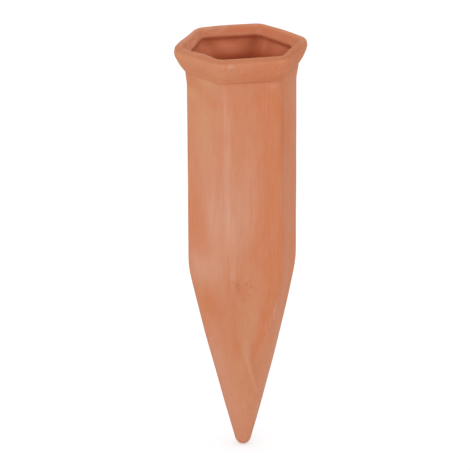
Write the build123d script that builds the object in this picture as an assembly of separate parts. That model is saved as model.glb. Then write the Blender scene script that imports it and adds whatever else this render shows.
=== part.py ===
from build123d import *
import math
import os

# A hollow six-sided clay spike with an open, flared collar, moulded in one piece.
# Millimetres, +Z up. The tip touches the origin, two flats face -Y and +Y, two corners point along X.

side_count = 6
side_turn = 360 / side_count

# Whole spike
spike_height = 170.0
wall = 4.2

# Barrel: six flats, a little narrower at the foot so that the clay leaves its mould
barrel_across_flats_top = 39.5
barrel_across_flats_foot = 39.2
barrel_corner_radius = 3.2

# Taper: flats that lean in and die out as long scallops in a round, slightly bulging point
flats_bend_level = 76.6
flats_lean_angle = 10.63
point_top_level = 79.0
point_corner_room = 0.14
shoulder_radius = 60.0
nose_radius = 3.3
nose_side_angle = 15.2
point_bend_level = 30.0
point_bend_radius = 10.5

# Collar: a flare that starts with a small step and ends in a rolled lip
collar_height = 11.6
collar_step = 0.5
collar_base_corner_radius = 2.4
collar_bulge = 0.2
rim_across_flats = 48.2
lip_outer_radius = 1.5
lip_land = 1.0
crest_radius = 1.0

# Mouth: the lip slopes down to it, a short throat follows, then a funnel leads into the barrel
lip_drop = 3.0
mouth_across_flats = 37.0
mouth_corner_radius = 3.4
crest_corner_radius = 3.8
mouth_edge_radius = 0.7
throat_length = 3.0
funnel_length = 9.0

# Cavity
cavity_corner_radius = 4.5
cavity_floor_level = 15.5
cavity_nose_radius = 2.4

# Room by which a cut or a crossing run passes what it trims
overrun = 5.0

# Levels and half widths that follow
collar_base_level = spike_height - collar_height
mouth_level = spike_height - lip_drop
throat_foot_level = mouth_level - throat_length
funnel_foot_level = throat_foot_level - funnel_length
barrel_half_top = barrel_across_flats_top / 2
barrel_half_foot = barrel_across_flats_foot / 2
collar_base_half = barrel_half_top + collar_step
rim_half = rim_across_flats / 2
mouth_half = mouth_across_flats / 2
cavity_half = barrel_half_foot - wall
side_half_turn = math.radians(side_turn / 2)
barrel_reach = (barrel_half_top - barrel_corner_radius) / math.cos(side_half_turn) + barrel_corner_radius
point_top_radius = barrel_reach + point_corner_room


def hexagon(half_width, corner_radius, level):
    sharp = RegularPolygon(half_width, side_count, major_radius=False)
    return Pos(0, 0, level) * fillet(sharp.vertices(), corner_radius)


def six_sided_spike():
    # the outline of two opposite flats is run across, then crossed with copies turned round the axis
    half_tip = barrel_half_foot - flats_bend_level * math.tan(math.radians(flats_lean_angle))
    half_outline = [
        (half_tip, 0),
        (barrel_half_foot, flats_bend_level),
        (barrel_half_top, collar_base_level),
    ]
    mirrored = [(-half_width, level) for half_width, level in reversed(half_outline)]
    outline = make_face(Plane.YZ * Polyline(*half_outline, *mirrored, close=True))
    bends = outline.vertices().filter_by(lambda v: math.isclose(v.Z, flats_bend_level))
    slab = extrude(fillet(bends, shoulder_radius), amount=barrel_across_flats_top, both=True)
    body = slab
    for copy in range(1, side_count // 2):
        body = body & Rot(0, 0, copy * side_turn) * slab
    rising = body.edges().filter_by(lambda e: abs(e.tangent_at(0.5).Z) > 0.5)
    return fillet(rising, barrel_corner_radius)


def round_point(nose, tip_level, *side_points):
    # turned envelope: round nose, a cone up through each side point, soft shoulder, then straight up
    lean = math.radians(nose_side_angle)
    half_arc = (math.pi / 2 - lean) / 2
    nose_middle = (nose * math.sin(half_arc), tip_level + nose * (1 - math.cos(half_arc)))
    nose_end = (nose * math.cos(lean), tip_level + nose * (1 - math.sin(lean)))
    shoulder = side_points[-1]
    nose_arc = ThreePointArc((0, tip_level), nose_middle, nose_end)
    side = Polyline(nose_end, *side_points)
    back = Polyline(shoulder, (shoulder[0], spike_height), (0, spike_height), (0, tip_level))
    outline = Plane.XZ * make_face([nose_arc, side, back])
    bend = outline.vertices().sort_by(lambda v: math.dist((v.X, v.Z), shoulder))[:1]
    return revolve(fillet(bend, shoulder_radius), Axis.Z)


def spike_form():
    # the lower cone opens a little faster, and the scallops end just above it
    bend = (point_bend_radius, point_bend_level)
    shoulder = (point_top_radius, point_top_level)
    return six_sided_spike() & round_point(nose_radius, 0, bend, shoulder)


def flare_lift(low_half, high_half, level, height):
    # one lift of the flare, whose corners round out as it widens
    corner_radius = collar_base_corner_radius + low_half - collar_base_half
    widening = math.degrees(math.atan((high_half - low_half) / height))
    return extrude(hexagon(low_half, corner_radius, level), amount=height, taper=-widening)


def collar_form():
    # two lifts with a slight bulge between them, rolled over above at the rim's full width
    lean = math.atan((rim_half - collar_base_half) / (collar_height - lip_outer_radius))
    top_half = rim_half + lip_outer_radius * (math.tan(lean) + 1 / math.cos(lean) - 1)
    middle_half = (collar_base_half + top_half) / 2 + collar_bulge
    lift = collar_height / 2
    lower = flare_lift(collar_base_half, middle_half, collar_base_level, lift)
    upper = flare_lift(middle_half, top_half, collar_base_level + lift, lift)
    flare = lower + upper
    return fillet(flare.faces().sort_by(Axis.Z)[-1].edges(), lip_outer_radius)


def mouth_form():
    # what the lip's slope, the throat and the funnel leave open
    crest_half = rim_half - lip_outer_radius - lip_land
    slope = (crest_half - mouth_half) / lip_drop
    over_half = crest_half + slope * overrun
    lip = loft(
        [
            hexagon(mouth_half, mouth_corner_radius, mouth_level),
            hexagon(crest_half, crest_corner_radius, spike_height),
            hexagon(over_half, crest_corner_radius, spike_height + overrun),
        ],
        ruled=True,
    )
    throat = extrude(hexagon(mouth_half, mouth_corner_radius, throat_foot_level), amount=throat_length)
    funnel = loft(
        [
            hexagon(cavity_half, cavity_corner_radius, funnel_foot_level),
            hexagon(mouth_half, mouth_corner_radius, throat_foot_level),
        ],
        ruled=True,
    )
    opening = lip + throat + funnel
    edge = opening.edges().filter_by(lambda e: all(math.isclose(v.Z, mouth_level) for v in e.vertices()))
    return fillet(edge, mouth_edge_radius)


def cavity_form():
    # six-sided in the barrel, and a round point raised by the wall behind the leaning flats
    floor = hexagon(cavity_half, cavity_corner_radius, cavity_floor_level)
    straight = extrude(floor, amount=funnel_foot_level - cavity_floor_level)
    shoulder = (point_top_radius - wall, point_top_level + wall)
    return straight & round_point(cavity_nose_radius, cavity_floor_level, shoulder)


def clay_spike():
    body = spike_form() + collar_form() - cavity_form() - mouth_form()
    land = body.faces().sort_by(Axis.Z)[-1]
    return fillet(land.inner_wires()[0].edges(), crest_radius)


os.makedirs("parts", exist_ok=True)
export_step(clay_spike(), "parts/clay_spike.step")
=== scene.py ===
import math

import bpy
import numpy as np
from mathutils import Matrix, Vector


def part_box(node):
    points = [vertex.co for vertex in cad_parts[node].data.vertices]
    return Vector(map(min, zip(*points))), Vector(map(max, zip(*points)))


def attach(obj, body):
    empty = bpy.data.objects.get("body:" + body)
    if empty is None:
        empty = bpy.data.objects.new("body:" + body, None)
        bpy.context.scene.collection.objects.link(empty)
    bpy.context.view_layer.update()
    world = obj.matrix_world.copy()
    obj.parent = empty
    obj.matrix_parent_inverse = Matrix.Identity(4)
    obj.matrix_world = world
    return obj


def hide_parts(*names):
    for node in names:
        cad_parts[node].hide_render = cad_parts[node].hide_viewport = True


mm = 0.001

print("loading the frame")
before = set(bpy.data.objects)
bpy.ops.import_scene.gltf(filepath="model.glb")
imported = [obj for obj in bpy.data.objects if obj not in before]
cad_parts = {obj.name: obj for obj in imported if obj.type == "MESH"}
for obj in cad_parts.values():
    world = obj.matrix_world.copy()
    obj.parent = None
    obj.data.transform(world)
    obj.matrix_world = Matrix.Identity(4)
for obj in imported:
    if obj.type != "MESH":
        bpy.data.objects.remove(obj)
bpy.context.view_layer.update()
print("CAD nodes in the frame:", len(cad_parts))

# The spike's sizes in millimetres and degrees
spike = {
    "barrelHalfTop": 19.75,
    "barrelHalfFoot": 19.6,
    "barrelCorner": 3.2,
    "flatsBend": 76.6,
    "flatsLean": 10.63,
    "bendSoftness": 1.05,
    "scallopSoftness": 0.32,
    "bendScallopSoftness": 0.6,
    "softerLevels": (60, 76),
    "noseRadius": 3.3,
    "noseSideAngle": 15.2,
    "pointStart": 2.5,
    "pointSlope": 0.251,
    "pointBulge": 0.41,
    "bulgeTopLevel": 77.0,
    "pointSwell": 0.22,
    "swellLevels": (25, 55),
    "collarHeight": 11.6,
    "lipDrop": 3.0,
    "mouthHalf": 18.5,
    "funnelDepth": 12.0,
    "wall": 4.2,
    "cavityCorner": 4.5,
    "cavityFloor": 15.5,
    "cavityNose": 2.4,
    "shoulderLevel": 79.0,
    "shoulderReach": 22.49,
}

# Stations of the collar's path in millimetres: out from the half width that its run starts from, up
# from that run's level, the bend's radius and the six corners' radius
collarPath = {
    "crease": ((0, 0.15, 0.35, 3.2),),
    "flare": ((-2.2, 3.6, 9.0, 4.6), (-0.45, 7.3, 4.5, 5.9)),
    "crest": ((0.1, -2.6, 2.0, 6.5), (-0.4, 0, 1.4, 6.2)),
    "throat": ((3.4, 3.0, 1.3, 4.4), (0, 0, 1.0, 4.2), (0.7, -1.8, 1.4, 4.4), (-1.8, -6.7, 3.0, 4.2)),
}

# How close the grid's rows and columns lie. Spacing and depth are in millimetres, the zone in degrees.
gridDensity = {
    "columnsPerFlat": 28,
    "columnsPerCorner": 16,
    "cornerZone": 7.0,
    "noseRows": 14,
    "noseBlendRows": 7,
    "sideRows": 211,
    "sideEnd": 1.2,
    "arcPoints": 24,
    "collarSpacing": 0.3,
    "collarTurnRoom": 0.9,
    "fineDepth": 4.2,
    "coarseStep": 4,
    "cavityRows": 33,
    "cavityNoseRows": 5,
}

# The height and the rim come from the frame, and the other levels follow
_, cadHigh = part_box("clay_spike")
spikeHeight = cadHigh[2] / mm
rimHalf = cadHigh[1] / mm
collarFoot = spikeHeight - spike["collarHeight"]
mouthLevel = spikeHeight - spike["lipDrop"]
cavityHalf = spike["barrelHalfFoot"] - spike["wall"]


def smoothMin(first, second, softness):
    # the lower of two values, rounded off where they come within the softness of each other
    gap = np.clip(softness - np.abs(first - second), 0, None)
    return np.minimum(first, second) - gap**2 / (4 * softness)


def smoothStep(start, end, values):
    # 0 up to the start, 1 from the end on, an S between, and falling where the start is the higher
    share = np.clip((values - start) / (end - start), 0, 1)
    return share * share * (3 - 2 * share)


def turnFrom(centre, angle):
    # signed turn from the centre in radians, the short way round
    return np.mod(angle - centre + math.pi, 2 * math.pi) - math.pi


def roundedHexagon(angle, halfWidth, cornerRadius):
    # distance from the axis: half width over cosine on a flat, the corner's own circle past its end
    fromFlat = np.abs(np.mod(angle, math.pi / 3) - math.pi / 6)
    fromCorner = math.pi / 6 - fromFlat
    flat = halfWidth / np.cos(fromFlat)
    centre = (halfWidth - cornerRadius) / math.cos(math.pi / 6)
    corner = centre * np.cos(fromCorner) + np.sqrt(
        np.clip(cornerRadius**2 - (centre * np.sin(fromCorner)) ** 2, 0, None)
    )
    flatEnd = np.arctan((halfWidth - cornerRadius) * math.tan(math.pi / 6) / halfWidth)
    return np.where(fromFlat < flatEnd, flat, corner)


def roundedPath(stations, spacing, turnRoom):
    # straight runs between stations (half width, level, bend radius, corner radius), with a circle
    # that touches both runs at each bend, then points at even steps of length plus turning
    places = np.array([station[:2] for station in stations], float)
    line = [np.array([*places[0], stations[0][3]])]
    for i in range(1, len(stations) - 1):
        radius = stations[i][2]
        before = places[i] - places[i - 1]
        after = places[i + 1] - places[i]
        beforeLength = np.linalg.norm(before)
        afterLength = np.linalg.norm(after)
        before = before / beforeLength
        after = after / afterLength
        turn = math.acos(np.clip(before @ after, -1, 1))
        reach = radius * math.tan(turn / 2)
        inward = (after - before * math.cos(turn)) / math.sin(turn)
        steps = np.linspace(0, turn, gridDensity["arcPoints"])[:, None]
        start = places[i] - before * reach
        arc = start + radius * (np.sin(steps) * before + (1 - np.cos(steps)) * inward)
        cornerIn = stations[i][3] + (stations[i - 1][3] - stations[i][3]) * reach / beforeLength
        cornerOut = stations[i][3] + (stations[i + 1][3] - stations[i][3]) * reach / afterLength
        corners = np.linspace(cornerIn, cornerOut, gridDensity["arcPoints"])[:, None]
        line.extend(np.hstack([arc, corners]))
    line.append(np.array([*places[-1], stations[-1][3]]))
    line = np.array(line)
    step = np.diff(line[:, :2], axis=0)
    heading = np.unwrap(np.arctan2(step[:, 1], step[:, 0]))
    turning = np.abs(np.diff(heading, prepend=heading[0]))
    along = np.concatenate([[0], np.cumsum(np.linalg.norm(step, axis=1) + turnRoom * turning)])
    even = np.linspace(0, along[-1], int(round(along[-1] / spacing)) + 1)
    return np.stack([np.interp(even, along, line[:, k]) for k in range(3)], axis=1)


def columnAngles():
    # even steps over each flat, closer ones round each corner, from just before the corner at +X
    flatHalfTurn = math.radians(30 - gridDensity["cornerZone"])
    cornerTurn = math.radians(2 * gridDensity["cornerZone"])
    corner = np.arange(gridDensity["columnsPerCorner"]) / gridDensity["columnsPerCorner"]
    flat = np.arange(gridDensity["columnsPerFlat"]) / gridDensity["columnsPerFlat"]
    oneSide = np.concatenate([
        -cornerTurn / 2 + corner * cornerTurn,
        cornerTurn / 2 + flat * 2 * flatHalfTurn,
    ])
    return (np.arange(6)[:, None] * math.pi / 3 + oneSide[None, :]).ravel()


def outerRows():
    # from the tip up to just under the collar: level, half width across flats, reach of the round
    # point. The flats lean out, then run up the barrel. The point is a nose circle, then a straight
    # opening with a parabola and a soft step on it.
    lean = math.radians(spike["noseSideAngle"])
    noseTurn = np.linspace(0, math.pi / 2 - lean, gridDensity["noseRows"] + 1)[1:]
    noseLevel = spike["noseRadius"] * (1 - np.cos(noseTurn))
    noseReach = spike["noseRadius"] * np.sin(noseTurn)
    sideTop = collarFoot - gridDensity["sideEnd"]
    sideLevel = np.linspace(noseLevel[-1], sideTop, gridDensity["sideRows"] + 1)[1:]
    level = np.concatenate([noseLevel, sideLevel])

    aboveBend = level - spike["flatsBend"]
    opening = (spike["barrelHalfTop"] - spike["barrelHalfFoot"]) / (collarFoot - spike["flatsBend"])
    taperHalf = spike["barrelHalfFoot"] + aboveBend * math.tan(math.radians(spike["flatsLean"]))
    barrelHalf = spike["barrelHalfFoot"] + aboveBend * opening
    half = smoothMin(taperHalf, barrelHalf, spike["bendSoftness"])

    share = level / spike["bulgeTopLevel"]
    bulge = 4 * spike["pointBulge"] * share * (1 - share)
    swell = spike["pointSwell"] * smoothStep(*spike["swellLevels"], level)
    reach = spike["pointStart"] + spike["pointSlope"] * level + bulge + swell
    reach[: len(noseReach)] = noseReach
    blendRows = gridDensity["noseBlendRows"]
    blended = slice(len(noseReach) - 1, len(noseReach) - 1 + blendRows)
    reach[blended] = np.linspace(reach[blended][0], reach[blended][-1], blendRows)
    return level, half, reach


def collarRows(footHalf, footLevel):
    # over the collar and down the funnel: half width, level, corner radius, closer at the lip
    stations = [(footHalf, footLevel, 0, spike["barrelCorner"])]
    for run, runHalf, runLevel in (
        ("crease", spike["barrelHalfTop"], collarFoot),
        ("flare", rimHalf, collarFoot),
        ("crest", rimHalf, spikeHeight),
        ("throat", spike["mouthHalf"], mouthLevel),
    ):
        for out, up, bend, corner in collarPath[run]:
            stations.append((runHalf + out, runLevel + up, bend, corner))
    funnelFoot = mouthLevel - spike["funnelDepth"]
    stations.append((cavityHalf, funnelFoot, 0, spike["cavityCorner"]))
    path = roundedPath(stations, gridDensity["collarSpacing"], gridDensity["collarTurnRoom"])[1:]
    firstHalf = np.arange(len(path)) < 0.5 * len(path)
    fine = firstHalf | (path[:, 1] > mouthLevel - gridDensity["fineDepth"])
    return np.concatenate([path[fine], path[~fine][:: gridDensity["coarseStep"]]])


def cavityRows(topLevel):
    # down the cavity to its floor: level and reach of a cone that ends in a nose circle, a wall's
    # thickness inside and above the outer point's shoulder
    lean = math.radians(spike["noseSideAngle"])
    nose = spike["cavityNose"]
    noseTop = spike["cavityFloor"] + nose * (1 - math.sin(lean))
    noseSide = nose * math.cos(lean)
    sideLevel = np.linspace(topLevel, noseTop, gridDensity["cavityRows"] + 1)[1:]
    coneTop = spike["shoulderLevel"] + spike["wall"]
    slope = (spike["shoulderReach"] - spike["wall"] - noseSide) / (coneTop - noseTop)
    sideReach = noseSide + (sideLevel - noseTop) * slope
    noseTurn = np.linspace(math.pi / 2 - lean, 0, gridDensity["cavityNoseRows"] + 2)[1:-1]
    noseLevel = spike["cavityFloor"] + nose * (1 - np.cos(noseTurn))
    level = np.concatenate([sideLevel, noseLevel])
    reach = np.concatenate([sideReach, nose * np.sin(noseTurn)])
    return level, reach


def surfaceRows():
    # every row of the grid, from the tip up the outside, over the lip and down to the cavity's floor:
    # level, half width, corner radius, reach of the round point, and 1 outside or 0 past the crest
    unbounded = 1000.0
    outerLevel, outerHalf, pointReach = outerRows()
    collar = collarRows(outerHalf[-1], outerLevel[-1])
    cavityLevel, cavityReach = cavityRows(collar[-1, 1])
    outerCorner = np.full_like(outerLevel, spike["barrelCorner"])
    innerHalf = np.full_like(cavityLevel, cavityHalf)
    innerCorner = np.full_like(cavityLevel, spike["cavityCorner"])
    crestRow = len(outerLevel) + np.argmax(collar[:, 1])
    level = np.concatenate([outerLevel, collar[:, 1], cavityLevel])
    half = np.concatenate([outerHalf, collar[:, 0], innerHalf])
    corner = np.concatenate([outerCorner, collar[:, 2], innerCorner])
    reach = np.concatenate([pointReach, np.full(len(collar), unbounded), cavityReach])
    outside = np.where(np.arange(len(level)) <= crestRow, 1.0, 0.0)
    return level, half, corner, reach, outside


def closedGrid(name, grid, bottom, top):
    # rows of points round the axis become quads, and a fan of triangles closes each end at its pole
    rows, columns, _ = grid.shape
    index = np.arange(rows * columns).reshape(rows, columns)
    following = np.roll(index, -1, axis=1)
    quads = np.stack([index[:-1], following[:-1], following[1:], index[1:]], axis=-1).reshape(-1, 4)
    lowPole, highPole = rows * columns, rows * columns + 1
    lowFan = np.stack([following[0], index[0], np.full(columns, lowPole)], axis=-1)
    highFan = np.stack([index[-1], following[-1], np.full(columns, highPole)], axis=-1)
    vertices = np.concatenate([grid.reshape(-1, 3), [bottom], [top]])
    mesh = bpy.data.meshes.new(name)
    mesh.from_pydata(vertices.tolist(), [], quads.tolist() + lowFan.tolist() + highFan.tolist())
    mesh.polygons.foreach_set("use_smooth", np.ones(len(mesh.polygons), dtype=bool))
    mesh.update()
    piece = bpy.data.objects.new(name, mesh)
    bpy.context.scene.collection.objects.link(piece)
    return piece


# How the hand-finished collar and the flats stray from the true hexagon, in millimetres. Each ring of
# the collar has one line for each corner, round from +X: how far it is pushed out, along and up.
# Swells are soft patches and how far they rise. A wave is its strength, its count round, the rise for
# one radian of slant, a shift, the rise for one radian of swelling, and a shift of that.
uneven = {
    "crease": (
        (1.0, 0.3, 0.75),
        (0.0, -0.3, 0.2),
        (0.1, -0.3, 0.3),
        (0.5, -0.4, 0.5),
        (0.95, -1.65, 0.6),
        (-0.45, -0.8, 0.25),
    ),
    "rim": (
        (-0.5, -0.95, -0.25),
        (0.15, -0.4, 0.15),
        (-0.45, -0.8, 0.2),
        (0.55, 0.2, -0.35),
        (0.95, -2.1, -0.2),
        (-0.05, -1.25, -0.25),
    ),
    "mouth": (
        (-0.95, -1.1, -0.15),
        (-0.3, -1.0, 0.2),
        (0.35, 0.4, 0.4),
        (-0.5, -0.2, 0.4),
        (0.9, -2.0, -0.1),
        (-0.05, -1.25, -0.25),
    ),
    "swells": (
        (221, 170, 6, 1.5, 0, 0.6),
        (165, 170, 8, 1.3, 0, 0.5),
        (95, 170, 9, 1.6, 0, 0.25),
        (28, 170, 9, 3.2, 0, 0.4),
    ),
    "creaseFade": 5.0,
    "rimRise": 8.0,
    "lipStartHalf": 22.6,
    "mouthFade": 12.0,
    "waves": (
        (1.0, 5, 17, 0, 23, 1.3),
        (0.6, 11, -9, 0.8, math.inf, 0),
        (0.5, 3, 6.1, math.pi / 2, 13, -math.pi / 2),
    ),
    "waveHeight": 0.07,
    "waveLevels": (3, 20),
    "ridgeLevels": (24.4, 27.4, 32.5, 37.6, 42.8, 47.9, 52.3, 60.0, 76.5),
    "ridgeAngles": (294.7, 286.4, 274.9, 266.7, 261.8, 256.9, 253.6, 249.0, 244.4),
    "ridgeStart": (23, 27),
    "ridgeEnd": (54, 38),
    "ridgeHeight": 0.12,
    "ridgeHalfWidth": 0.5,
}

print("shaping the spike")
gridColumns = columnAngles()
gridRows = surfaceRows()
gridShape = (len(gridRows[0]), len(gridColumns))
gridAngle = np.broadcast_to(gridColumns, gridShape)
gridLevel, gridHalf, gridCorner, gridPoint, isOutside = (
    np.broadcast_to(values[:, None], gridShape) for values in gridRows
)
isInside = 1 - isOutside
softer = smoothStep(*spike["softerLevels"], gridLevel)
softness = spike["scallopSoftness"] + (spike["bendScallopSoftness"] - spike["scallopSoftness"]) * softer
gridReach = smoothMin(roundedHexagon(gridAngle, gridHalf, gridCorner), gridPoint, softness)

# long shallow waves of the scraped flats
wave = 0
for strength, count, slant, shift, swelling, swellShift in uneven["waves"]:
    slanting = np.sin(count * gridAngle + gridLevel / slant + shift)
    wave = wave + strength * slanting * np.cos(gridLevel / swelling + swellShift)
waveShare = isOutside * smoothStep(*uneven["waveLevels"], gridLevel)
gridReach = gridReach + uneven["waveHeight"] * wave * waveShare

# the smeared line that crosses the front of the taper
ridgeAngle = np.radians(np.interp(gridLevel, uneven["ridgeLevels"], uneven["ridgeAngles"]))
fromRidge = turnFrom(ridgeAngle, gridAngle) * gridReach
ridgeShare = smoothStep(*uneven["ridgeStart"], gridLevel) * smoothStep(*uneven["ridgeEnd"], gridLevel)
ridge = np.exp(-((fromRidge / uneven["ridgeHalfWidth"]) ** 2)) * ridgeShare * isOutside
gridReach = gridReach + uneven["ridgeHeight"] * ridge


def softPatch(centreAngle, centreLevel, halfRound, halfUp, leaning):
    # a bell on the skin that is 1 at its centre (degrees round, mm up) and fades over its half sizes
    # in mm, leaning sideways by its last number as it rises
    up = gridLevel - centreLevel
    sideways = turnFrom(math.radians(centreAngle), gridAngle) * gridReach - leaning * up
    return np.exp(-((sideways / halfRound) ** 2) - (up / halfUp) ** 2)


def cornerPush(ring):
    # the pushes of two neighbouring corners, run in a straight line from one to the other
    corner = np.floor(np.mod(gridAngle, 2 * math.pi) / (math.pi / 3)).astype(int) % 6
    fromMiddle = np.mod(gridAngle, math.pi / 3) - math.pi / 6
    share = (0.5 + 0.5 * np.tan(fromMiddle) / math.tan(math.pi / 6))[..., None]
    pushes = []
    for place, (out, along, rise) in enumerate(uneven[ring]):
        turn = place * math.pi / 3
        pushes.append((
            out * math.cos(turn) - along * math.sin(turn),
            out * math.sin(turn) + along * math.cos(turn),
            rise,
        ))
    pushes = np.array(pushes)
    return (1 - share) * pushes[corner] + share * pushes[(corner + 1) % 6]


# the collar's own unevenness, ring by ring, fading out below the crease and down the mouth
upCollar = np.clip((gridLevel - collarFoot) / uneven["rimRise"], 0, 1)
nearCrease = smoothStep(collarFoot - uneven["creaseFade"], collarFoot, gridLevel)
lipWidth = uneven["lipStartHalf"] - spike["mouthHalf"]
inward = np.clip((uneven["lipStartHalf"] - gridHalf) / lipWidth, 0, 1)
nearMouth = smoothStep(uneven["mouthFade"], 0, mouthLevel - gridLevel)
ringShares = {
    "crease": isOutside * nearCrease * (1 - upCollar),
    "rim": isOutside * upCollar + isInside * (1 - inward),
    "mouth": isInside * inward * nearMouth,
}
push = sum(ringShares[ring][..., None] * cornerPush(ring) for ring in ringShares)
for *patch, rise in uneven["swells"]:
    push[..., 2] += rise * softPatch(*patch)

trueForm = np.stack([gridReach * np.cos(gridAngle), gridReach * np.sin(gridAngle), gridLevel], axis=-1)
claySpike = closedGrid("claySpike", (trueForm + push) * mm, (0, 0, 0), (0, 0, spike["cavityFloor"] * mm))
print("spike:", gridShape[0], "rows,", gridShape[1], "columns,", 2 * math.prod(gridShape), "triangles")

# Where the fired skin differs, and where shade is painted on it: degrees round, mm up, half sizes in mm
# round and up, lean, strength.
skin = {
    "bloom": (
        (216, 104, 5, 14, 0, 0.5),
        (228, 100, 4, 16, 0, 0.45),
        (241, 106, 2.4, 20, 0, 0.3),
        (216, 80, 6.5, 6, 0.1, 0.68),
        (193, 80, 3.5, 7, 0, 0.6),
        (245, 80, 1.0, 7, 0, 0.6),
        (250, 98, 6, 13, 0, 0.55),
        (262, 118, 5, 14, 0, 0.3),
        (350, 150, 6, 9, 0, 0.15),
        (262, 44, 2, 8, 0.2, 0.3),
        (214, 20, 5, 15, 0, 0.35),
        (200, 40, 5, 10, 0, 0.4),
        (325, 34, 5, 28, 0, 0.45),
        (210, 130, 7, 16, 0, 0.25),
        (222, 154, 6, 3, 0, 0.25),
        (293, 156.6, 2.4, 0.9, 0, 0.45),
        (120, 120, 9, 30, 0, 0.6),
        (75, 85, 10, 22, 0, 0.8),
        (30, 60, 6, 18, 0, 0.6),
        (100, 35, 5, 15, 0, 0.6),
        (155, 95, 7, 25, 0, 0.4),
        (15, 130, 8, 18, 0, 0.5),
        (150, 30, 4, 16, 0, 0.5),
    ),
    "bare": (
        (291, 140, 6, 26, 0, 1.0),
        (288, 108, 4, 24, 0, 0.8),
        (292, 92, 6, 12, 0, 0.8),
        (274, 88, 8, 8, 0, 0.8),
        (294, 80, 3.6, 14, 0, 1.1),
        (289, 62, 2.2, 12, 0.2, 1.1),
        (281, 47, 1.6, 7, 0.3, 0.9),
        (247, 47, 1.5, 6, -0.25, 0.9),
        (240.5, 79, 0.7, 9, 0, 0.9),
        (245, 62, 0.8, 12, 0, 0.5),
        (203, 64, 6, 6, 0, 0.8),
        (213, 61, 6, 7, 0, 0.5),
        (199, 96, 5, 9, 0, 0.7),
        (286, 152, 7, 5, 0, 0.5),
        (335, 125, 8, 45, 0, 0.4),
        (316, 138, 7, 13, 0, 0.6),
        (335, 166, 11, 6, 0, 1.2),
        (285, 164, 9, 4, 0, 0.8),
        (320, 169.8, 5, 0.8, 0, 0.7),
        (307, 168, 4, 3, 0, 0.6),
        (195, 157.3, 4, 1.2, 0, 0.6),
        (262, 150, 10, 5, 0, 0.35),
        (196, 154.5, 6, 2, 0, 0.6),
        (218, 151, 4, 3, 0, 0.5),
        (190, 96, 2.5, 16, 0, 0.5),
        (280, 163, 14, 3.5, 0, 0.8),
        (300, 164, 8, 4, 0, 0.7),
        (215, 163, 12, 4, 0, 0.5),
        (250, 160, 10, 2, 0, 0.5),
        (190, 165, 6, 4, 0, 0.5),
        (254, 73, 4, 4, 0, 0.5),
        (50, 110, 7, 28, 0, 0.9),
        (140, 140, 8, 14, 0, 0.7),
        (90, 60, 6, 12, 0, 0.7),
        (175, 100, 4, 20, 0, 0.5),
        (350, 60, 5, 12, 0, 0.4),
    ),
    # Painted shade: darker strips beside corners, on the collar's right, at the crest, down the front of
    # the taper and beside the smeared line
    "paintedShade": (
        (302, 140, 1.3, 17, 0, 0.6),
        (306, 108, 0.9, 20, 0, 0.4),
        (290, 160, 5, 1.5, 0, 0.4),
        (328, 167, 9, 3.5, 0, 0.4),
        (320, 169.8, 5, 0.8, 0, 0.35),
        (187, 169.6, 5, 0.8, 0, 0.5),
        (248, 52, 9, 42, 0, 0.2),
        (277, 39, 1.4, 12, -0.19, 0.35),
        (60, 130, 1.2, 22, 0, 0.5),
    ),
    "tan": (
        (266, 60, 4, 14, 0, 0.45),
        (260, 46, 2.2, 9, 0.1, 0.3),
        (205, 140, 5, 14, 0, 0.5),
        (215, 157, 6, 1.6, 0, 1.0),
        (228, 38, 5, 16, 0, 0.2),
        (238, 164, 5, 3, 0, 0.4),
        (205, 166, 7, 2, 0, 0.4),
        (192, 165.5, 5, 3, 0, 0.6),
        (187, 151.5, 3.5, 3, 0, 0.8),
        (262, 20, 4, 10, 0, 0.3),
        (110, 75, 6, 15, 0, 0.7),
        (30, 150, 8, 10, 0, 0.6),
    ),
    "worn": (
        (239.2, 147, 1.5, 10, 0, 0.36),
        (240.6, 122, 1.6, 15, 0, 0.36),
        (242.8, 99, 1.6, 11, 0, 0.26),
        (299.3, 62, 0.5, 3.5, 0, 0.7),
        (310, 15.6, 0.5, 3.5, 0, 0.6),
        (312, 103, 0.5, 0.7, 0, 0.5),
        (206.7, 133.7, 0.5, 0.9, 0, 0.4),
        (218, 131.5, 0.5, 1.6, 0, 0.4),
        (258, 77.2, 1.1, 0.6, 0, 0.5),
        (250.3, 167.4, 1.8, 0.7, 0, 0.4),
        (294.7, 168.4, 1.8, 0.4, 0, 0.4),
        (262, 164.6, 2.4, 0.8, 0, 0.15),
        (120, 100, 0.8, 25, 0, 0.6),
        (60, 120, 0.7, 15, 0, 0.5),
        (0, 90, 0.7, 20, 0, 0.5),
    ),
    "pit": (
        (245.3, 76.5, 0.5, 0.5, 0, 0.6),
        (250.0, 75.4, 0.6, 0.7, 0.3, 1.0),
        (250.8, 73.4, 0.45, 1.8, 0, 0.7),
        (256.9, 77.3, 0.7, 0.5, 0, 0.9),
        (260.4, 75.2, 0.45, 0.8, 0.2, 0.9),
        (266.9, 73.8, 0.6, 0.5, 0.5, 0.7),
        (265.1, 69.9, 0.45, 0.7, 0, 0.5),
        (256.9, 68.6, 0.6, 2.0, 0, 0.4),
        (100, 90, 0.6, 0.9, 0, 0.8),
        (104, 87, 0.5, 0.6, 0, 0.8),
    ),
}
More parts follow.
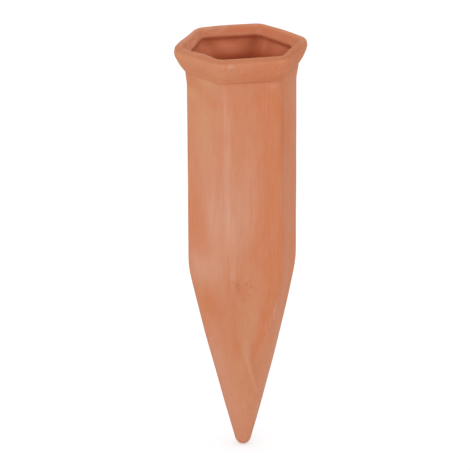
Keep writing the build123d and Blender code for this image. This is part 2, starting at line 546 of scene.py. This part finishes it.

# The same for the lip and the clay inside the mouth, where some patches are painted shade and some
# painted light
innerSkin = {
    # Painted shade inside the mouth: its corner at 60 degrees and the low wall at the back
    "innerShade": (
        (64, 164.2, 2.0, 2.2, 0, 0.5),
        (63, 159.5, 2.2, 2.5, 0, 0.25),
        (72, 157.8, 6, 1.2, 0, 0.45),
        (92, 157.4, 6, 0.9, 0, 0.25),
        (114, 164.6, 2.4, 1.4, 0, 0.2),
    ),
    "bare": (
        (62, 168.8, 11, 1.5, 0, 0.9),
        (84, 168.8, 6, 1.3, 0, 0.7),
        (30, 168.6, 7, 1.3, 0, 0.5),
        (14, 168.2, 6, 1.5, 0, 0.45),
    ),
    # Painted shade on the lip, at the left and at the right
    "paintedShade": (
        (174, 169.0, 6, 1.2, 0, 0.5),
        (345, 169.0, 7, 1.2, 0, 0.75),
        (343, 167.4, 2.2, 0.8, 0, 0.35),
    ),
    "bloom": (
        (165, 169.8, 9, 0.5, 0, 0.5),
        (207, 168.7, 3, 0.6, 0, 0.45),
        (344, 169.1, 0.9, 1.2, 0, 0.9),
        (112, 169.2, 3.5, 0.3, 0, 0.6),
        (106, 168.4, 2.6, 0.25, 0, 0.5),
        (101, 168.9, 1.3, 0.6, 0, 0.5),
        (96, 169.5, 1.0, 0.4, 0, 0.5),
    ),
    # Painted light on the walls inside the mouth and under its left edge
    "innerLight": (
        (100, 163.2, 3, 1.8, 0, 0.9),
        (86, 162.6, 3.2, 1.6, 0, 0.8),
        (92, 160.6, 5, 1.2, 0, 0.4),
        (49, 163.2, 1.6, 2.4, 0, 0.6),
        (25, 162.5, 3, 1.6, 0, 0.3),
        (118, 161.5, 2.6, 2.4, 0, 0.7),
        (128, 164, 3, 2.5, 0, 0.6),
        (24, 164.5, 4, 1.6, 0, 0.6),
        (155, 165.8, 4.5, 2.0, 0, 0.5),
    ),
}


def skinField(patches, side):
    # the sum of the soft patches on one side of the wall, held between 0 and 1
    field = 0 * gridAngle
    for *patch, strength in patches:
        field = field + strength * softPatch(*patch)
    return np.clip(field * side, 0, 1)


def turnShare(around, centre, half, power):
    # 1 on the side that faces the centre, falling to the share all round over the half turn, in degrees
    turn = np.abs(turnFrom(math.radians(centre), gridAngle)) / math.radians(half)
    return around + (1 - around) * np.exp(-(turn**power))


def storeField(mesh, name, field, bottom, top):
    # one number a vertex, in the grid's own order, with the two poles last
    attribute = mesh.attributes.new(name, "FLOAT", "POINT")
    attribute.data.foreach_set("value", np.concatenate([field.ravel(), [bottom, top]]).astype(np.float32))


# Marks that follow the form, in millimetres. A fade is two depths under the top: the mark is off at
# the first and full at the second. A turn is the share all round, centre, half turn and power.
formMarks = {
    "creviceRise": 0.1,
    "creviceHalf": 0.35,
    "creviceTurn": (0.3, 268, 28, 2),
    "bandFade": (1.9, 0.9),
    "bandInsideFade": (0.5, 0.1),
    "bandTurn": (0, 262, 88, 4),
    "bandShade": 0.85,
    "bandLip": 0.5,
    "depthFades": ((0.38, 0.3, 1.2), (0.29, 3.0, 4.0), (0.33, 7.0, 11.0)),
    "crestHalf": 0.3,
    "crestShare": 0.12,
    "crestTurns": ((0.4, 212, 20, 2), (0.3, 110, 17, 2)),
    "lipFade": (3.2, 2.6),
    "lipTurn": (0.3, 140, 48, 2),
}

print("marking the skin")
marks = {}
for name in {**skin, **innerSkin}:
    marks[name] = skinField(skin.get(name, ()), isOutside) + skinField(innerSkin.get(name, ()), isInside)

# painted shade: the crease under the collar is painted darker, most of it at the front
fromCrease = (gridLevel - collarFoot - formMarks["creviceRise"]) / formMarks["creviceHalf"]
marks["creaseShade"] = np.exp(-(fromCrease**2)) * isOutside * turnShare(*formMarks["creviceTurn"])

# painted shade: the band under the crest is painted darker at the front
underTop = spikeHeight - gridLevel
bandSide = isOutside + isInside * smoothStep(*formMarks["bandInsideFade"], underTop)
band = smoothStep(*formMarks["bandFade"], underTop) * bandSide
bandShade = formMarks["bandShade"] * band * turnShare(*formMarks["bandTurn"])
marks["paintedShade"] = np.clip(marks["paintedShade"] + bandShade, 0, 1)

# painted shade: inside the mouth, from the lip down, the clay is painted darker and redder the deeper it
# lies, for the shade and the red light bounced between its walls
deeper = sum(share * smoothStep(start, end, underTop) for share, start, end in formMarks["depthFades"])
marks["depth"] = isInside * deeper

# the crest is rubbed a little all round and more in two places, and the smeared line has a mark too
rubbed = formMarks["crestShare"]
for strength, *turn in formMarks["crestTurns"]:
    rubbed = rubbed + strength * turnShare(0, *turn)
marks["crest"] = np.clip(np.exp(-((underTop / formMarks["crestHalf"]) ** 2)) * rubbed, 0, 1)
marks["line"] = ridge

# the lip is wiped, most of it on the left, and so is the band under the crest
lip = isInside * smoothStep(*formMarks["lipFade"], underTop) * turnShare(*formMarks["lipTurn"])
marks["lip"] = lip + formMarks["bandLip"] * band * isOutside

# the tip's pole has no mark, and the pole on the cavity's floor takes the mouth's painted shade in full
for name, field in marks.items():
    storeField(claySpike.data, name, field, 0, float(name == "depth"))


def linearColour(hexValue):
    # sRGB hex to linear red, green, blue, with the alpha of 1 that the sockets want
    parts = [int(hexValue[i : i + 2], 16) / 255 for i in (1, 3, 5)]
    return [part / 12.92 if part <= 0.04045 else ((part + 0.055) / 1.055) ** 2.4 for part in parts] + [1]


def addNode(tree, kind, settings={}, links={}):
    # one node with its own settings, and for each socket either a value or the socket that feeds it
    node = tree.nodes.new(kind)
    for name, value in settings.items():
        setattr(node, name, value)
    for name, source in links.items():
        if isinstance(source, bpy.types.NodeSocket):
            tree.links.new(source, node.inputs[name])
        else:
            node.inputs[name].default_value = source
    return node


print("mixing the terracotta")
# Unglazed terracotta, moulded and scraped by hand: a matte, slightly dusty skin with a pale bloom,
# bare orange places, fine upright scrape lines and a soft grit.
terracotta = {
    "clay": "#D18966",
    "bare": "#CF7B50",
    "bloom": "#D79F87",
    "tan": "#D2966A",
    # painted shade beside corners, on the right, under the crest, on the lip and in the pits
    "paintedShade": "#B4663F",
    "worn": "#DFB7A2",
    # painted shade inside the mouth, darker and redder for the light bounced between its walls
    "deep": "#BE5F38",
    # painted light inside the mouth
    "innerLight": "#DC8561",
    # painted shade inside the mouth
    "innerShade": "#8E4228",
    # painted shade in the crease under the collar
    "creaseShade": "#A05C40",
    "roughness": 0.88,
    "specular": 0.3,
    "bump": 0.14,
    "bumpStrength": 0.8,
}
material = bpy.data.materials.new("unglazedTerracottaMoulded")
material.use_nodes = True
tree = material.node_tree
shader = tree.nodes["Principled BSDF"]
onObject = addNode(tree, "ShaderNodeTexCoord").outputs["Object"]

# Patterns: size in mm, squeeze along Z (below 1 draws them out upright, above 1 lays them flat),
# shift, detail, roughness. The grit is drawn at about twice its real size, so that it shows.
patterns = {
    "scrapes": (0.9, 0.07, (0, 0, 0), 4, 0.6),
    "mottle": (6.0, 0.7, (0, 0, 0), 6, 0.72),
    "tanning": (4.5, 0.45, (0.3, 0.1, 0.2), 4, 0.6),
    "grit": (0.45, 1, (0, 0, 0), 3, 0.6),
    "wiping": (4.0, 8, (0.7, 0.4, 0.1), 3, 0.55),
}
noises = {}
for name, (size, squeeze, shift, detail, roughness) in patterns.items():
    laid = addNode(
        tree,
        "ShaderNodeMapping",
        {},
        {"Vector": onObject, "Location": shift, "Scale": (1, 1, squeeze)},
    )
    noise = addNode(
        tree,
        "ShaderNodeTexNoise",
        {},
        {"Vector": laid.outputs[0], "Scale": 1 / (size * mm), "Detail": detail, "Roughness": roughness},
    )
    noises[name] = noise.outputs["Fac"]

# Shares: where the pattern runs between the first two numbers, the share runs between the last two
ranges = {
    "scraped": ("scrapes", 0.34, 0.66, 0, 1),
    "streaked": ("scrapes", 0.3, 0.7, 0.62, 1),
    "rubbed": ("scrapes", 0.3, 0.7, 0.3, 0.8),
    "clouded": ("mottle", 0.34, 0.66, 0, 0.55),
    "patchy": ("mottle", 0.3, 0.7, 0.6, 1),
    "thin": ("mottle", 0.34, 0.66, 0.02, 0.32),
    "broken": ("mottle", 0.4, 0.65, 0.05, 0.6),
    "tanned": ("tanning", 0.45, 0.7, 0, 0.3),
    "gritty": ("grit", 0.3, 0.7, 0, 1),
    "wiped": ("wiping", 0.45, 0.62, 0, 0.6),
}
shares = {}
for name, (source, low, high, least, most) in ranges.items():
    shares[name] = addNode(
        tree,
        "ShaderNodeMapRange",
        {"interpolation_type": "SMOOTHSTEP"},
        {"Value": noises[source], "From Min": low, "From Max": high, "To Min": least, "To Max": most},
    ).outputs[0]
for name in marks:
    shares[name] = addNode(tree, "ShaderNodeAttribute", {"attribute_name": name}).outputs["Fac"]

# Each layer is laid on the ones before it, as thick as the product of its shares and its strength
layers = (
    ("bare", ("clouded",), 1.0),
    ("tan", ("tanned",), 1.0),
    ("tan", ("tan",), 1.0),
    ("bare", ("bare", "patchy"), 1.0),
    ("bloom", ("scraped", "thin"), 1.0),
    ("bloom", ("bloom", "streaked"), 1.0),
    # painted shade in the crease under the collar
    ("creaseShade", ("creaseShade",), 0.5),
    # painted shade, darker and redder, down the mouth
    ("deep", ("depth",), 1.0),
    # painted light inside the mouth
    ("innerLight", ("innerLight",), 1.0),
    ("bloom", ("lip", "wiped"), 0.7),
    # painted shade inside the mouth
    ("innerShade", ("innerShade",), 1.0),
    # painted shade beside corners, on the right, under the crest and on the lip
    ("paintedShade", ("paintedShade",), 0.5),
    # painted shade in the small pits, which the bump also sinks
    ("paintedShade", ("pit",), 0.6),
    ("tan", ("line",), 0.45),
    ("worn", ("line",), 0.15),
    ("worn", ("worn", "rubbed"), 1.0),
    ("worn", ("crest", "broken"), 1.0),
)
colour = linearColour(terracotta["clay"])
for name, factors, strength in layers:
    thickness = strength
    for factor in factors:
        thickness = addNode(
            tree, "ShaderNodeMath", {"operation": "MULTIPLY"}, {0: shares[factor], 1: thickness}
        ).outputs[0]
    colour = addNode(
        tree,
        "ShaderNodeMix",
        {"data_type": "RGBA"},
        {"Factor": thickness, 6: colour, 7: linearColour(terracotta[name])},
    ).outputs[2]
tree.links.new(colour, shader.inputs["Base Color"])

# The skin's relief as a share of the bump: scrape lines and grit stand up, small pits go in
relief = 0.0
for name, rise in (("scraped", 0.38), ("gritty", 0.35), ("pit", -1.0)):
    relief = addNode(
        tree, "ShaderNodeMath", {"operation": "MULTIPLY_ADD"}, {0: shares[name], 1: rise, 2: relief}
    ).outputs[0]
bump = addNode(
    tree,
    "ShaderNodeBump",
    {},
    {"Height": relief, "Distance": terracotta["bump"] * mm, "Strength": terracotta["bumpStrength"]},
)
tree.links.new(bump.outputs[0], shader.inputs["Normal"])
shader.inputs["Roughness"].default_value = terracotta["roughness"]
shader.inputs["Specular IOR Level"].default_value = terracotta["specular"]
claySpike.data.materials.append(material)

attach(claySpike, "root")
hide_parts("clay_spike")

# The floor's half width is in metres
studio = {
    "floorHalf": 4.0,
    "paper": "#F0F0F0",
    "paperSeen": "#CDD1D3",
    "paperGlow": 0.47,
    "skyStrength": 0.93,
}

print("laying the floor")
floorMesh = bpy.data.meshes.new("floor")
half = studio["floorHalf"]
corners = [(-half, -half, 0), (half, -half, 0), (half, half, 0), (-half, half, 0)]
floorMesh.from_pydata(corners, [], [(0, 1, 2, 3)])
floor = bpy.data.objects.new("floor", floorMesh)
bpy.context.scene.collection.objects.link(floor)

# Matte white paper, with no shine at all. The spike is lit by plain paper. The camera sees a greyer
# one with a glow of its own, which comes out pure white and keeps only a faint shadow under the tip.
floorMaterial = bpy.data.materials.new("matteWhitePaper")
floorMaterial.use_nodes = True
floorTree = floorMaterial.node_tree
floorTree.nodes.clear()
paper = addNode(floorTree, "ShaderNodeBsdfDiffuse", {}, {"Color": linearColour(studio["paper"])})
paperSeen = addNode(floorTree, "ShaderNodeBsdfDiffuse", {}, {"Color": linearColour(studio["paperSeen"])})
glow = addNode(floorTree, "ShaderNodeEmission", {}, {"Strength": studio["paperGlow"]})
lifted = addNode(floorTree, "ShaderNodeAddShader", {}, {0: paperSeen.outputs[0], 1: glow.outputs[0]})
seen = addNode(floorTree, "ShaderNodeLightPath")
both = addNode(
    floorTree,
    "ShaderNodeMixShader",
    {},
    {0: seen.outputs["Is Camera Ray"], 1: paper.outputs[0], 2: lifted.outputs[0]},
)
addNode(floorTree, "ShaderNodeOutputMaterial", {}, {"Surface": both.outputs[0]})
floorMesh.materials.append(floorMaterial)

print("setting the light")
# An even white sky all round, which the camera sees at full white and the spike a little dimmer
world = bpy.data.worlds.new("softBox")
bpy.context.scene.world = world
world.use_nodes = True
worldTree = world.node_tree
worldTree.nodes.clear()
seenSky = addNode(worldTree, "ShaderNodeLightPath")
skyStrength = addNode(
    worldTree,
    "ShaderNodeMath",
    {"operation": "MULTIPLY_ADD"},
    {0: seenSky.outputs["Is Camera Ray"], 1: 1 - studio["skyStrength"], 2: studio["skyStrength"]},
).outputs[0]
sky = addNode(worldTree, "ShaderNodeBackground", {}, {"Color": (1, 1, 1, 1), "Strength": skyStrength})
addNode(worldTree, "ShaderNodeOutputWorld", {}, {"Surface": sky.outputs[0]})

# One large soft panel low on the left, in metres and watts
lamp = {
    "place": (-1.2, -1.9, 0.4),
    "aim": (0, 0, 0.09),
    "size": 1.2,
    "watts": 7.75,
}
keyData = bpy.data.lights.new("keyPanel", "AREA")
keyData.size = lamp["size"]
keyData.energy = lamp["watts"]
key = bpy.data.objects.new("keyPanel", keyData)
key.location = lamp["place"]
key.rotation_euler = (Vector(lamp["aim"]) - Vector(lamp["place"])).to_track_quat("-Z", "Y").to_euler()
bpy.context.scene.collection.objects.link(key)

print("placing the camera")
# A long lens that looks down a little, from left of the front. Turns are in degrees, lengths in mm.
view = {
    "turn": -14.37,
    "tilt": 19.0,
    "distance": 1800.0,
    "lens": 344.0,
    "farLimit": 20000.0,
    "target": (0, 0, 85.0),
    "shiftRight": 2.934,
    "shiftDown": 4.056,
    "roll": 0.235,
}
viewTurn = math.radians(view["turn"])
viewTilt = math.radians(view["tilt"])
levelShare = math.cos(viewTilt)
back = Vector((math.sin(viewTurn) * levelShare, -math.cos(viewTurn) * levelShare, math.sin(viewTilt)))
right = Vector((math.cos(viewTurn), math.sin(viewTurn), 0))
up = back.cross(right)
target = Vector(view["target"]) * mm
cameraPlace = target + back * view["distance"] * mm
aim = target - right * view["shiftRight"] * mm + up * view["shiftDown"] * mm
facing = (aim - cameraPlace).to_track_quat("-Z", "Y").to_matrix()
rolled = facing @ Matrix.Rotation(-math.radians(view["roll"]), 3, "Z")
cameraData = bpy.data.cameras.new("camera")
cameraData.lens = view["lens"]
cameraData.clip_end = view["farLimit"] * mm
camera = bpy.data.objects.new("camera", cameraData)
camera.matrix_world = Matrix.Translation(cameraPlace) @ rolled.to_4x4()
bpy.context.scene.collection.objects.link(camera)
bpy.context.scene.camera = camera

bpy.context.scene.view_settings.view_transform = "Standard"
